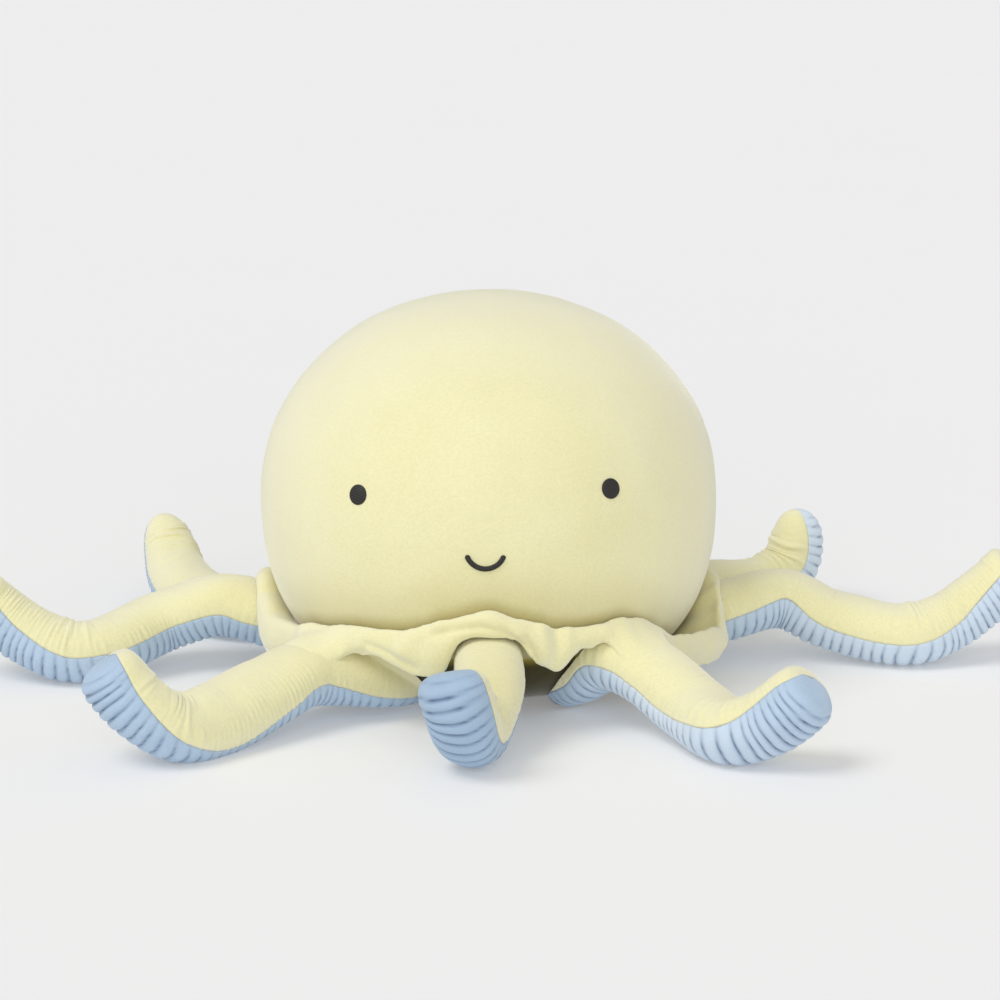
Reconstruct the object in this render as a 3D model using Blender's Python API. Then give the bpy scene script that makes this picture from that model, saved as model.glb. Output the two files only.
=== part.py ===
# Weighted plush octopus at its real size: metres, +Z up, the face looks along -Y.
# The origin is the centre of the flat base, on the floor.
# A yellow dome holds a sealed pouch of beads and loose filling. A ruffled skirt runs round it,
# and eight tentacles grow from under the skirt, yellow above and ribbed blue below.
import math

import bmesh
import bpy
from mathutils import Matrix, Vector
from mathutils.bvhtree import BVHTree

# Head
HEAD_RADIUS = 0.141
HEAD_HEIGHT = 0.238
WAIST_HEIGHT = 0.1086
BASE_RADIUS = 0.048
CROWN_POWER = 2.12
UNDER_POWER = 2.2
HEAD_SEGMENTS = 32
UNDER_STEPS = 7
CROWN_STEPS = 7
COVER_WALL = 0.003
PANEL_THICKNESS = 0.003
SEAM_GAP = 0.0003

# Bead pouch that stands on the base panel
POUCH_RADIUS = 0.070
POUCH_FOOT_RADIUS = 0.042
POUCH_HEIGHT = 0.054
POUCH_STEPS = 4

# Face. An eye's place is a bearing in degrees from +X and a share of the head's height, and the
# smile's is how far to the right as a share of the head's radius, and the same share of height.
EYE_DIAMETER = 0.012
EYE_PROUD = 0.0012
EYE_LEFT = (-123.4, 0.59)
EYE_RIGHT = (-58.6, 0.607)
SMILE_RADIUS = 0.0112
SMILE_HALF_ANGLE = 74.0
SMILE_SPOT = (-0.011, 0.479)
SMILE_STITCH = 0.003
SMILE_STEPS = 12

# Tentacles
ROOT_WIDTH = 0.050
ROOT_PINCH = 0.009
PINCH_LENGTH = 0.045
TIP_WIDTH = 0.040
TENTACLE_HEIGHT = 0.037
TIP_ROUND = 0.017
RIB_PITCH = 0.0094
RIB_DEPTH = 0.0022
ARC_STEPS = 4
ROUTE_FINENESS = 16
TIP_SHARES = (0.45, 0.78, 0.96)
TIP_POWER = 2.5

# Skirt
ROLL_THICKNESS = 0.013
LEAST_THICKNESS = 0.006
HEM_THICKNESS = 0.008
SKIRT_STEPS = 80
SEWN_DEPTH = 0.002
DRAPE_CLEARANCE = 0.0014

# Each tentacle's route, from inside the skirt to the middle of its tip: reach from the axis in head
# radii, bearing in degrees from +X, height of the middle of the section in tentacle heights, and how
# far the section is rolled, in degrees, with its left-hand side up to someone walking out along it.
TENTACLES = (
    ((0.567, -90, 0.51, 0), (0.766, -90, 0.84, 0), (0.972, -90, 1.2, 0), (1.121, -90, 1.03, 0),
     (1.255, -91, 0.65, 0), (1.362, -92, 0.55, 0), (1.454, -93, 0.76, 2),
     (1.507, -94.2, 1.14, 6), (1.514, -95.3, 1.49, 10), (1.5, -95.7, 1.7, 10)),
    ((0.624, -57, 0.51, 26), (0.766, -57, 0.76, 24), (0.908, -55, 1.05, 12), (1.085, -51.5, 0.92, 4),
     (1.34, -51, 0.57, 4), (1.61, -53, 0.49, 0), (1.752, -50.5, 0.7, -14),
     (1.858, -48.5, 1.08, -32), (1.922, -47.5, 1.38, -40)),
    ((0.709, 7, 0.51, 0), (0.887, 7, 0.7, 0), (1.085, 7.5, 0.89, -2), (1.326, 9, 1.0, -12),
     (1.546, 6, 0.68, 6), (1.851, 2.5, 0.5, 10), (2.057, 3.5, 0.68, -2), (2.206, 4, 1.05, -16),
     (2.312, 4, 1.43, -22), (2.362, 4, 1.73, -24)),
    ((0.709, 38, 0.51, 0), (0.887, 38, 0.59, 0), (1.064, 38, 0.59, 0), (1.333, 37.5, 0.51, 0),
     (1.574, 35.5, 0.5, 0), (1.716, 34.5, 0.78, 0), (1.766, 34.5, 1.27, 0), (1.766, 34.7, 1.81, 0)),
    ((0.567, 94, 0.51, 0), (0.78, 94, 0.73, 0), (1.028, 94, 0.89, 0), (1.333, 95, 0.59, 0),
     (1.631, 97, 0.49, 0), (1.809, 97, 0.7, 0), (1.901, 96, 1.14, 0)),
    ((0.709, 151, 0.51, 0), (0.887, 152, 0.57, 0), (1.099, 154, 0.54, 0), (1.326, 156, 0.5, 0),
     (1.546, 152.5, 0.5, 0), (1.745, 148, 0.68, 0), (1.887, 144.5, 1.05, 0), (1.972, 143.5, 1.54, 0)),
    ((0.709, 177, 0.51, 0), (0.887, 177, 0.76, 0), (1.064, 177, 0.97, -6), (1.22, 177.5, 1.05, 0),
     (1.461, 179, 0.78, 0), (1.688, 185, 0.54, 0), (1.858, 185.5, 0.5, 4), (2.035, 184, 0.76, 16),
     (2.177, 183, 1.14, 26), (2.277, 183, 1.54, 30)),
    ((0.567, -131, 0.51, -24), (0.766, -132, 0.59, -22), (0.993, -134, 0.76, -5),
     (1.135, -135, 0.81, -4), (1.305, -135, 0.68, -16), (1.596, -134.5, 0.49, -38),
     (1.794, -135, 0.54, -16), (1.922, -137, 0.92, 4), (1.986, -139, 1.32, 16),
     (2.021, -140, 1.62, 20)),
)

# The skirt's edge as it lies where nothing lifts it: bearing, reach, height of hem and of crest, in
# the same units.
RUFFLES = (
    (-173, 1.028, 0.92, 1.43), (-162, 1.035, 0.54, 1.3), (-150, 1.007, 0.59, 1.35),
    (-140, 1.014, 0.81, 1.49), (-124, 1.021, 0.89, 1.65), (-115, 1.025, 0.78, 1.65),
    (-108, 1.039, 0.78, 1.73), (-101, 1.057, 1.08, 1.93), (-90, 1.071, 1.35, 2.11),
    (-79, 1.06, 1.14, 1.92), (-72, 1.035, 1.03, 1.77), (-56, 1.035, 1.08, 1.8),
    (-45, 1.014, 0.81, 1.54), (-36, 1.011, 0.62, 1.32), (-27, 1.025, 0.51, 1.26),
    (-19, 1.05, 0.45, 1.19), (-13, 1.071, 0.43, 1.05), (-6, 1.043, 0.65, 1.35),
    (0, 1.025, 0.86, 1.51), (8, 1.035, 0.97, 1.43), (23, 1.028, 0.92, 1.35), (38, 1.035, 0.97, 1.35),
    (66, 1.035, 0.81, 1.35), (94, 1.035, 0.97, 1.46), (122, 1.035, 0.81, 1.35),
    (151, 1.035, 0.97, 1.35), (164, 1.028, 0.97, 1.35), (177, 1.035, 0.97, 1.41),
)


def clear_scene():
    for item in list(bpy.data.objects):
        bpy.data.objects.remove(item, do_unlink=True)


def make_material(name, colour, roughness):
    material = bpy.data.materials.new(name)
    material.use_nodes = True
    shader = material.node_tree.nodes["Principled BSDF"]
    shader.inputs["Base Color"].default_value = (*colour, 1.0)
    shader.inputs["Roughness"].default_value = roughness
    shader.inputs["Metallic"].default_value = 0.0
    return material


def add_object(name, bm, material):
    # Turns a finished bmesh into a named object that is shaded smooth with crisp edges.
    bmesh.ops.recalc_face_normals(bm, faces=bm.faces)
    mesh = bpy.data.meshes.new(name)
    bm.to_mesh(mesh)
    bm.free()
    mesh.shade_smooth()
    mesh.set_sharp_from_angle(angle=math.radians(50))
    item = bpy.data.objects.new(name, mesh)
    bpy.context.collection.objects.link(item)
    if material:
        item.data.materials.append(material)
    return item


def spin_outline(outline, segments):
    # Turns an outline of (radius, height) about Z. Two points in a row on the axis stay unjoined,
    # as the two poles of a shell, and an outline that starts off the axis is closed on itself.
    # The first facet starts half a step off +X, so that one facet looks straight along -Y.
    bm = bmesh.new()
    turn = math.pi / segments
    verts = [bm.verts.new((r * math.cos(turn), r * math.sin(turn), z)) for r, z in outline]
    pairs = list(zip(range(len(outline)), range(1, len(outline))))
    if outline[0][0] > 0:
        pairs.append((len(outline) - 1, 0))
    edges = [bm.edges.new((verts[a], verts[b])) for a, b in pairs
             if outline[a][0] > 0 or outline[b][0] > 0]
    bmesh.ops.spin(bm, geom=verts + edges, cent=(0, 0, 0), axis=(0, 0, 1), angle=math.tau,
                   steps=segments, use_merge=True)
    bmesh.ops.remove_doubles(bm, verts=bm.verts, dist=0.000001)
    return bm


def loft(bm, rings, closed=False):
    # Joins rings of points, in order, with quads. Unless the loft is closed, both ends get a face.
    loops = [[bm.verts.new(point) for point in ring] for ring in rings]
    pairs = list(zip(loops, loops[1:]))
    if closed:
        pairs.append((loops[-1], loops[0]))
    count = len(loops[0])
    for first, second in pairs:
        for k in range(count):
            nxt = (k + 1) % count
            bm.faces.new((first[k], first[nxt], second[nxt], second[k]))
    if not closed:
        bm.faces.new(loops[0])
        bm.faces.new(loops[-1])


def cut_with(item, cutter):
    change = item.modifiers.new("seam", "BOOLEAN")
    change.operation = "DIFFERENCE"
    change.solver = "EXACT"
    change.object = cutter


def polar(reach, bearing, height):
    angle = math.radians(bearing)
    return Vector((reach * math.cos(angle), reach * math.sin(angle), height))


def head_outline(offset=0.0):
    # Points of the head's side, from the base edge to the crown, moved out by the offset.
    bulge = HEAD_RADIUS - BASE_RADIUS
    crown = HEAD_HEIGHT - WAIST_HEIGHT
    points = []
    for k in range(UNDER_STEPS):
        angle = 0.5 * math.pi * k / UNDER_STEPS
        across = math.sin(angle) ** (2 / UNDER_POWER)
        drop = math.cos(angle) ** (2 / UNDER_POWER)
        points.append((BASE_RADIUS + bulge * across, WAIST_HEIGHT * (1 - drop),
                       across ** (UNDER_POWER - 1) / bulge, -drop ** (UNDER_POWER - 1) / WAIST_HEIGHT))
    for k in range(CROWN_STEPS + 1):
        angle = 0.5 * math.pi * k / CROWN_STEPS
        across = max(math.cos(angle), 0.0) ** (2 / CROWN_POWER)
        rise = math.sin(angle) ** (2 / CROWN_POWER)
        points.append((HEAD_RADIUS * across, WAIST_HEIGHT + crown * rise,
                       across ** (CROWN_POWER - 1) / HEAD_RADIUS, rise ** (CROWN_POWER - 1) / crown))
    moved = []
    for r, z, out, up in points:
        length = math.hypot(out, up)
        moved.append((max(r + offset * out / length, 0.0), z + offset * up / length))
    moved[-1] = (0.0, moved[-1][1])
    return moved


def head_radius(height):
    # The head's radius at a height, on the same outline as above.
    if height < WAIST_HEIGHT:
        drop = min((WAIST_HEIGHT - height) / WAIST_HEIGHT, 1.0)
        across = (1 - drop ** UNDER_POWER) ** (1 / UNDER_POWER)
        return BASE_RADIUS + (HEAD_RADIUS - BASE_RADIUS) * across
    rise = min((height - WAIST_HEIGHT) / (HEAD_HEIGHT - WAIST_HEIGHT), 1.0)
    return HEAD_RADIUS * (1 - rise ** CROWN_POWER) ** (1 / CROWN_POWER)


def make_head_cutter():
    # The head's own shape, a seam's gap larger, which shapes whatever is sewn on to it.
    outline = [(0.0, -2 * PANEL_THICKNESS), (BASE_RADIUS, -2 * PANEL_THICKNESS)]
    cutter = add_object("head_cutter", spin_outline(outline + head_outline(SEAM_GAP), HEAD_SEGMENTS),
                        None)
    cutter.hide_render = True
    cutter.display_type = "WIRE"
    return cutter


def pouch_outline(floor, offset):
    # Side of the pouch from the middle of its flat foot to its top, a low round cushion.
    foot = POUCH_FOOT_RADIUS + offset
    bulge = POUCH_RADIUS - POUCH_FOOT_RADIUS
    belly = 0.4 * POUCH_HEIGHT
    points = [(0.0, floor), (foot, floor)]
    for k in range(1, POUCH_STEPS):
        angle = 0.5 * math.pi * k / POUCH_STEPS
        points.append((foot + bulge * math.sin(angle), floor + belly * (1 - math.cos(angle))))
    rise = POUCH_HEIGHT - belly + offset
    for k in range(POUCH_STEPS):
        angle = 0.5 * math.pi * k / POUCH_STEPS
        points.append(((POUCH_RADIUS + offset) * math.sqrt(math.cos(angle)),
                       floor + belly + rise * math.sin(angle)))
    points.append((0.0, floor + belly + rise))
    return points


def make_head(yellow, blue, filling, beads):
    # The cover is a skin of even wall, open at the base, where the round panel is sewn in.
    inside = head_outline(-COVER_WALL)
    inside[0] = (BASE_RADIUS, PANEL_THICKNESS)
    add_object("head_cover", spin_outline(inside + head_outline()[::-1], HEAD_SEGMENTS), yellow)
    rim = BASE_RADIUS - SEAM_GAP
    panel = [(0.0, 0.0), (rim, 0.0), (rim, PANEL_THICKNESS), (0.0, PANEL_THICKNESS)]
    add_object("base_panel", spin_outline(panel, HEAD_SEGMENTS), blue)
    floor = PANEL_THICKNESS + SEAM_GAP
    add_object("weight_pouch", spin_outline(pouch_outline(floor, 0.0), HEAD_SEGMENTS), beads)
    # The filling takes up the rest of the dome, over and round the pouch.
    recess = pouch_outline(floor, SEAM_GAP / math.cos(math.pi / HEAD_SEGMENTS))[1:]
    stuffing = head_outline(-COVER_WALL - SEAM_GAP)
    stuffing[0] = (stuffing[0][0], floor)
    add_object("head_fill", spin_outline(recess[::-1] + stuffing, HEAD_SEGMENTS), filling)


def make_eye(name, spot, black, cutter):
    # A padded disc of satin stitch, cut to the head's curve at its back.
    bearing, share = spot
    height = share * HEAD_HEIGHT
    place = polar(head_radius(height), bearing, height)
    step = 0.001
    lean = math.atan2(head_radius(height - step) - head_radius(height + step), 2 * step)
    out = polar(math.cos(lean), bearing, math.sin(lean))
    bm = bmesh.new()
    bmesh.ops.create_cone(bm, cap_ends=True, segments=16, radius1=EYE_DIAMETER / 2,
                          radius2=EYE_DIAMETER / 2, depth=4 * EYE_PROUD)
    top = [edge for edge in bm.edges if all(v.co.z > 0 for v in edge.verts)]
    bmesh.ops.bevel(bm, geom=top, offset=EYE_PROUD * 0.6, segments=1, affect="EDGES")
    turn = out.to_track_quat("Z", "Y").to_matrix().to_4x4()
    middle = place - out * EYE_PROUD
    bmesh.ops.transform(bm, matrix=Matrix.Translation(middle) @ turn, verts=bm.verts)
    cut_with(add_object(name, bm, black), cutter)


def make_smile(black, cutter):
    # One thick line of stitching along an arc, half sunk into the head and cut to its curve.
    middle = []
    for k in range(SMILE_STEPS + 1):
        angle = math.radians(SMILE_HALF_ANGLE) * (2 * k / SMILE_STEPS - 1)
        x = SMILE_SPOT[0] * HEAD_RADIUS + SMILE_RADIUS * math.sin(angle)
        z = SMILE_SPOT[1] * HEAD_HEIGHT - SMILE_RADIUS * math.cos(angle)
        middle.append(Vector((x, -math.sqrt(head_radius(z) ** 2 - x * x), z)))
    rings = []
    for k, point in enumerate(middle):
        along = (middle[min(k + 1, SMILE_STEPS)] - middle[max(k - 1, 0)]).normalized()
        across = along.cross(Vector((0, -1, 0))).normalized()
        out = across.cross(along)
        rings.append([point + (across * math.cos(a) + out * math.sin(a)) * SMILE_STITCH / 2
                      for a in [math.tau * s / 8 for s in range(8)]])
    bm = bmesh.new()
    loft(bm, rings)
    cut_with(add_object("smile", bm, black), cutter)


def smooth_route(corners):
    # A fine line of points and rolls on a smooth curve through the route's corners.
    points = [Vector((*polar(reach * HEAD_RADIUS, bearing, height * TENTACLE_HEIGHT), math.radians(roll)))
              for reach, bearing, height, roll in corners]
    points = [2 * points[0] - points[1]] + points + [2 * points[-1] - points[-2]]
    line = []
    for a, b, c, d in zip(points, points[1:], points[2:], points[3:]):
        for k in range(ROUTE_FINENESS):
            t = k / ROUTE_FINENESS
            line.append(0.5 * (2 * b + (c - a) * t + (2 * a - 5 * b + 4 * c - d) * t * t
                               + (3 * b - a - 3 * c + d) * t ** 3))
    line.append(points[-2])
    return line


def route_lengths(line):
    # Distance from the root to each point of a line.
    lengths = [0.0]
    for first, second in zip(line, line[1:]):
        lengths.append(lengths[-1] + (second.to_3d() - first.to_3d()).length)
    return lengths


def point_along(line, lengths, distance):
    # The point, the direction and the roll at a distance along a line.
    k = 0
    while k < len(line) - 2 and lengths[k + 1] < distance:
        k += 1
    here = line[k].lerp(line[k + 1], (distance - lengths[k]) / (lengths[k + 1] - lengths[k]))
    return here.to_3d(), (line[k + 1].to_3d() - line[k].to_3d()).normalized(), here.w


def tentacle_stations(length):
    # Distance along the route and share of the full section for each ring between two ribs.
    straight = length - TIP_ROUND
    ribs = round(straight / RIB_PITCH)
    stations = [(straight * k / ribs, 1.0) for k in range(ribs + 1)]
    for share in TIP_SHARES:
        stations.append((straight + TIP_ROUND * share, (1 - share ** TIP_POWER) ** (1 / TIP_POWER)))
    return stations


def section_frames(line):
    # Centre, sideways and upward directions, width and height of the section at each station.
    lengths = route_lengths(line)
    frames = []
    side = None
    for distance, share in tentacle_stations(lengths[-1]):
        centre, along, roll = point_along(line, lengths, distance)
        if side is None:
            side = Vector((0, 0, 1)).cross(along)
        side = (side - along * side.dot(along)).normalized()
        up = along.cross(side)
        turned = side * math.cos(roll) + up * math.sin(roll)
        width = ROOT_WIDTH + (TIP_WIDTH - ROOT_WIDTH) * distance / lengths[-1]
        width -= ROOT_PINCH * max(1 - distance / PINCH_LENGTH, 0.0) ** 2
        frames.append((centre, turned, along.cross(turned), width * share,
                       TENTACLE_HEIGHT * share))
    return frames


def half_section(frame, sign, swell):
    # One half of the section, as an arc from seam to seam, resting flat where it meets the floor.
    centre, side, up, width, height = frame
    points = []
    for k in range(ARC_STEPS + 1):
        angle = math.pi * k / ARC_STEPS
        grow = swell if 0 < k < ARC_STEPS else 0.0
        across = (width / 2 + grow) * math.cos(angle)
        rise = (height / 2 + grow) * math.sin(angle) + SEAM_GAP / 2
        point = centre + side * across + up * sign * rise
        points.append(Vector((point.x, point.y, max(point.z, 0.0))))
    return points


def add_half(name, rings, grooves, fabric, cutter):
    # A closed half tentacle: an arched strip through all its rings, and a flat sewing face whose
    # triangles run from groove to groove, the same on both halves, so that they lie face to face.
    bm = bmesh.new()
    loops = [[bm.verts.new(point) for point in ring] for ring in rings]
    for first, second in zip(loops, loops[1:]):
        for k in range(ARC_STEPS):
            bm.faces.new((first[k], first[k + 1], second[k + 1], second[k]))
    for i, j in zip(grooves, grooves[1:]):
        left = [loop[0] for loop in loops[i:j + 1]]
        right = [loop[-1] for loop in loops[i:j + 1]]
        for a, b in zip(right, right[1:]):
            bm.faces.new((left[0], a, b))
        for a, b in zip(left, left[1:]):
            bm.faces.new((right[-1], b, a))
    bm.faces.new(loops[0])
    bm.faces.new(loops[-1])
    cut_with(add_object(name, bm, fabric), cutter)


def make_tentacle(number, corners, yellow, blue, cutter):
    # The top is one smooth strip. The underside has a rib between every two grooves, up to the tip.
    frames = section_frames(smooth_route(corners))
    ribbed = len(frames) - len(TIP_SHARES)
    top = [half_section(frame, 1, 0.0) for frame in frames]
    below = []
    grooves = []
    for k, frame in enumerate(frames):
        groove = half_section(frame, -1, -RIB_DEPTH / 2)
        if 0 < k < ribbed:
            between = [(a + b) / 2 for a, b in zip(frames[k - 1], frame)]
            rib = half_section(between, -1, RIB_DEPTH / 2)
            rib[0] = (below[-1][0] + groove[0]) / 2
            rib[-1] = (below[-1][-1] + groove[-1]) / 2
            below.append(rib)
        grooves.append(len(below))
        below.append(groove)
    add_half(f"tentacle_{number}_top", top, range(len(top)), yellow, cutter)
    add_half(f"tentacle_{number}_underside", below, grooves, blue, cutter)
    return top


def support_heights(tops):
    # How high the tentacles lift the skirt, at any reach and bearing, read from their upper surfaces.
    verts = []
    faces = []
    for rings in tops:
        for ring in rings:
            start = len(verts)
            verts.extend(ring)
            if ring is not rings[0]:
                for k in range(ARC_STEPS):
                    faces.append((start + k, start + k + 1, start + k - ARC_STEPS,
                                  start + k - ARC_STEPS - 1))
    tree = BVHTree.FromPolygons(verts, faces)

    def support(reach, bearing):
        start = polar(reach, bearing, HEAD_HEIGHT)
        hit = tree.ray_cast(start, Vector((0, 0, -1)))[0]
        return hit.z + DRAPE_CLEARANCE if hit else 0.0

    return support


def ruffle_at(bearing):
    # Reach, hem height and crest height of the skirt's edge, eased between the ruffle's own points.
    points = sorted((b % 360, r, h, c) for b, r, h, c in RUFFLES)
    bearing %= 360
    before = max([p for p in points if p[0] <= bearing], default=points[-1])
    after = min([p for p in points if p[0] > bearing], default=points[0])
    span = (after[0] - before[0]) % 360
    t = ((bearing - before[0]) % 360) / span
    t = t * t * (3 - 2 * t)
    reach, hem, crest = [a + (b - a) * t for a, b in zip(before[1:], after[1:])]
    return reach * HEAD_RADIUS, hem * TENTACLE_HEIGHT, crest * TENTACLE_HEIGHT


def spread_max(values, steps):
    # The highest of each value and its neighbours round the ring.
    count = len(values)
    return [max(values[(k + s) % count] for s in range(-steps, steps + 1)) for k in range(count)]


def skirt_section(reach, hem, crest, under):
    # The section of the padded skirt: sewn edge, rolled crest, hem and lining. The sewn edge starts
    # inside the head's outline, so that the cut to the head's curve leaves it flush.
    sewn_top = crest - 0.45 * ROLL_THICKNESS
    sewn_low = under - 0.1 * ROLL_THICKNESS
    crest_reach = 0.5 * (head_radius(crest) + reach)
    lining = max(reach - HEM_THICKNESS, head_radius(hem) + 0.2 * HEM_THICKNESS)
    inner = 0.5 * (head_radius(under) + lining)
    return [
        (head_radius(sewn_top) - SEWN_DEPTH, sewn_top),
        (crest_reach, crest),
        (reach - 0.2 * HEM_THICKNESS, crest - 0.25 * ROLL_THICKNESS),
        (reach, 0.5 * (crest + hem)),
        (reach - 0.2 * HEM_THICKNESS, hem + 0.15 * ROLL_THICKNESS),
        (0.5 * (reach + lining), hem),
        (lining, hem + 0.2 * ROLL_THICKNESS),
        (inner, under),
        (head_radius(sewn_low) - SEWN_DEPTH, sewn_low),
    ]


def make_skirt(tops, yellow, cutter):
    # A ruffled ring sewn to the head, which drapes over the tentacles' roots and droops between them.
    support = support_heights(tops)
    step = 360 / SKIRT_STEPS
    hems = []
    unders = []
    for k in range(SKIRT_STEPS):
        reach, hem, crest = ruffle_at(k * step)
        turns = [k * step + step * s / 2 for s in (-2, -1, 0, 1, 2)]
        outer = [support(reach - HEM_THICKNESS * s, b) for s in (0, 0.5, 1) for b in turns]
        waist = head_radius(crest - ROLL_THICKNESS)
        inner = [support(waist + (reach - waist) * s, b) for s in (0, 0.25, 0.5) for b in turns]
        hems.append(max(hem, max(outer)))
        unders.append(max(crest - ROLL_THICKNESS, max(inner)))
    hems = spread_max(hems, 1)
    unders = spread_max(unders, 1)
    rings = []
    for k in range(SKIRT_STEPS):
        reach, _, crest = ruffle_at(k * step)
        under = max(unders[k], min(hems[k] + 0.3 * ROLL_THICKNESS, crest - LEAST_THICKNESS))
        crest = max(crest, under + LEAST_THICKNESS, hems[k] + 1.3 * LEAST_THICKNESS)
        rings.append([polar(r, k * step, z) for r, z in skirt_section(reach, hems[k], crest, under)])
    bm = bmesh.new()
    loft(bm, rings, closed=True)
    cut_with(add_object("skirt", bm, yellow), cutter)


def main():
    clear_scene()
    yellow = make_material("yellow_plush", (0.90, 0.87, 0.57), 0.95)
    blue = make_material("blue_ribbed_plush", (0.58, 0.72, 0.88), 0.95)
    black = make_material("black_thread", (0.010, 0.009, 0.008), 0.55)
    filling = make_material("polyester_fibre", (0.85, 0.85, 0.83), 1.0)
    beads = make_material("bead_pouch_cloth", (0.70, 0.70, 0.68), 0.9)
    cutter = make_head_cutter()
    make_head(yellow, blue, filling, beads)
    make_eye("eye_left", EYE_LEFT, black, cutter)
    make_eye("eye_right", EYE_RIGHT, black, cutter)
    make_smile(black, cutter)
    tops = []
    for number, corners in enumerate(TENTACLES, 1):
        tops.append(make_tentacle(number, corners, yellow, blue, cutter))
    make_skirt(tops, yellow, cutter)


main()
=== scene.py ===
import math

import bpy
import numpy as np
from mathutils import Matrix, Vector, noise
from mathutils.bvhtree import BVHTree


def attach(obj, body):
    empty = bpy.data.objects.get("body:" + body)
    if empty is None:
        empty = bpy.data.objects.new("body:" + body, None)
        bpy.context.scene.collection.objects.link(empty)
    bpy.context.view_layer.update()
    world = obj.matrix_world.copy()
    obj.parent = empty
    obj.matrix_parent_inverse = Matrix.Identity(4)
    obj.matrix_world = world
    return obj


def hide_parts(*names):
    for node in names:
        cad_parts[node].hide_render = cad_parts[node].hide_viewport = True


# Weighted plush octopus: yellow short-pile top, pale blue ribbed plush underneath, stitched face.
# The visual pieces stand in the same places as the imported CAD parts, in metres, front towards -Y.

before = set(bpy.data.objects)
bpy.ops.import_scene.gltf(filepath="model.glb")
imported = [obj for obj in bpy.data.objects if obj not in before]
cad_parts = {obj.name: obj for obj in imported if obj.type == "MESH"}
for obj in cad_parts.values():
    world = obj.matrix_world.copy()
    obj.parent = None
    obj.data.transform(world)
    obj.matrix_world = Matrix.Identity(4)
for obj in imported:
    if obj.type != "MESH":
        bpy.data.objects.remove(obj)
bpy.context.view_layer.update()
scene = bpy.context.scene
print("frame loaded,", len(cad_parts), "CAD parts")


# Small helpers shared by the pieces

def linearColour(code):  # sRGB hex to the linear values that nodes expect
    parts = [int(code[k:k + 2], 16) / 255 for k in (0, 2, 4)]
    return tuple(c / 12.92 if c <= 0.04045 else ((c + 0.055) / 1.055) ** 2.4 for c in parts) + (1.0,)


def addNode(tree, kind, inputs=None, **settings):  # a socket as a value is linked, the rest is typed in
    node = tree.nodes.new("ShaderNode" + kind)
    for name, value in settings.items():
        setattr(node, name, value)
    for name, value in (inputs or {}).items():
        if isinstance(value, bpy.types.NodeSocket):
            tree.links.new(value, node.inputs[name])
        else:
            node.inputs[name].default_value = value
    return node


def polar(reach, bearing, height):
    turn = math.radians(bearing)
    return Vector((reach * math.cos(turn), reach * math.sin(turn), height))


def wave(x, y=0.0, z=0.0):  # smooth noise from -1 to 1
    return noise.noise(Vector((x, y, z)))


def ease(x):  # 0 to 1 with soft ends
    x = min(max(x, 0.0), 1.0)
    return x * x * (3 - 2 * x)


def bell(x, width):  # 1 at 0, fading out over the width
    return math.exp(-(x / width) ** 2)


def through(a, b, c, d, t):  # a smooth curve from b to c, with a and d as its neighbours
    return 0.5 * (2 * b + (c - a) * t + (2 * a - 5 * b + 4 * c - d) * t * t
                  + (3 * b - a - 3 * c + d) * t ** 3)


def faceOut():  # turns the active piece's faces outwards
    bpy.ops.object.mode_set(mode="EDIT")
    bpy.ops.mesh.select_all(action="SELECT")
    bpy.ops.mesh.normals_make_consistent(inside=False)
    bpy.ops.object.mode_set(mode="OBJECT")


def soften(piece, rounds):
    change = piece.modifiers.new("soften", "SMOOTH")
    change.factor = 0.5
    change.iterations = rounds
    bpy.ops.object.modifier_apply(modifier="soften")


def sphereToGrid(name, segments, rings, place):  # re-lays a UV sphere: place(ring, segment) is a point
    bpy.ops.object.select_all(action="DESELECT")
    bpy.ops.mesh.primitive_uv_sphere_add(segments=segments, ring_count=rings, radius=1)
    piece = bpy.context.object
    piece.name = name
    piece.data.name = name
    for vert in piece.data.vertices:
        ring = round(math.acos(min(max(vert.co.z, -1), 1)) / math.pi * rings)
        segment = round(math.atan2(vert.co.y, vert.co.x) / math.tau * segments) % segments
        vert.co = place(ring, segment)
    faceOut()
    bpy.ops.object.shade_smooth()
    return piece


view = {"lens": 110.32, "film": 36, "above": 14, "away": 1.9, "aim": (0.0068, 0, 0.1086), "picture": 1000}


def makeCamera():  # a long lens, a little above the table
    lens = bpy.data.cameras.new("longLens")
    lens.lens = view["lens"]
    lens.sensor_width = view["film"]
    lens.clip_end = 60
    camera = bpy.data.objects.new("longLens", lens)
    scene.collection.objects.link(camera)
    tilt = math.radians(view["above"])
    away = Vector((0, -math.cos(tilt), math.sin(tilt)))
    camera.location = Vector(view["aim"]) + away * view["away"]
    camera.rotation_euler = away.to_track_quat("Z", "Y").to_euler()
    scene.camera = camera
    return camera


camera = makeCamera()


def drawOn(tree, marks):  # a line drawn in the picture, thrown on to the surface behind it
    turn = camera.rotation_euler.to_matrix()
    middle, pixel = view["picture"] / 2, view["film"] / view["picture"]
    line = []
    for (x0, y0), (x1, y1) in zip(marks, marks[1:]):
        count = max(int(math.hypot(x1 - x0, y1 - y0) / 2), 1)
        for k in range(count + 1):
            x, y = x0 + (x1 - x0) * k / count, y0 + (y1 - y0) * k / count
            look = turn @ Vector(((x - middle) * pixel, (middle - y) * pixel, -view["lens"])).normalized()
            hit = tree.ray_cast(camera.location, look)[0]
            if hit:
                line.append(hit)
    return line


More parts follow.
